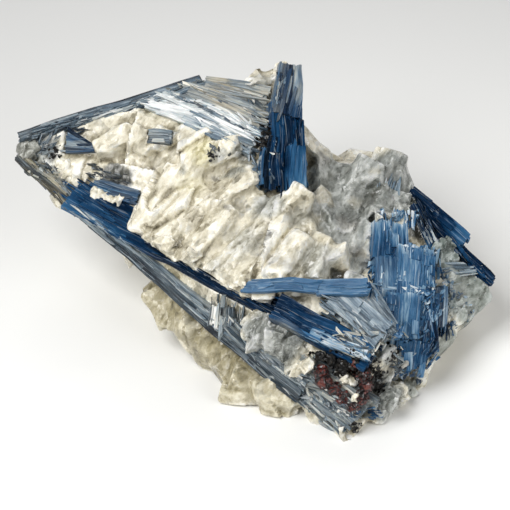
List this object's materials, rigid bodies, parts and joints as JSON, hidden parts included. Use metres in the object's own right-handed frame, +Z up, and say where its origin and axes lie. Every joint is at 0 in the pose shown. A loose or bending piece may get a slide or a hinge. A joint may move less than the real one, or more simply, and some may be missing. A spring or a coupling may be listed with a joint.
{
  "type": "kyanite blade cluster",
  "caption": "Loose mineral specimen: striated blue kyanite blades grown through a broken lump of milky quartz, with garnet and black mica, resting on a flat broken base.",
  "frame": {"origin": "under the middle of the specimen's box, on the surface it rests on", "axes": "+X along the specimen's length towards the end with the stack of short blades, +Y from the sloping front to the back, +Z up"},
  "size_m": [0.0973, 0.0702, 0.0481],
  "materials": {
    "milky_quartz": "broken, cream to smoky grey, faintly see-through at thin edges, glassy lustre",
    "deep_blue_kyanite": "deep blue to navy, striated along the blade, pearly lustre",
    "mid_blue_kyanite": "mid blue, striated along the blade, pearly lustre",
    "pale_blue_kyanite": "pale blue, striated along the blade, pearly lustre",
    "silver_blue_kyanite": "silvery grey-blue, streaked along the blade, pearly lustre",
    "garnet": "red-brown, rough, glassy on broken faces",
    "black_mica": "black-brown, flaky, glinting"
  },
  "bodies": {
    "root": {"quartz_matrix": "milky_quartz", "front_blades": "deep_blue_kyanite", "upright_blades": "deep_blue_kyanite", "right_edge_blades": "deep_blue_kyanite", "tip_blade": "deep_blue_kyanite", "block_blades": "mid_blue_kyanite", "inner_blade": "mid_blue_kyanite", "back_blades": "mid_blue_kyanite", "pale_lath": "pale_blue_kyanite", "lower_blades": "silver_blue_kyanite", "crest_blades": "silver_blue_kyanite", "sunk_crystal": "silver_blue_kyanite", "cross_splinters": "silver_blue_kyanite", "garnet_grains": "garnet", "mica_grains": "black_mica"}
  },
  "joints": []
}
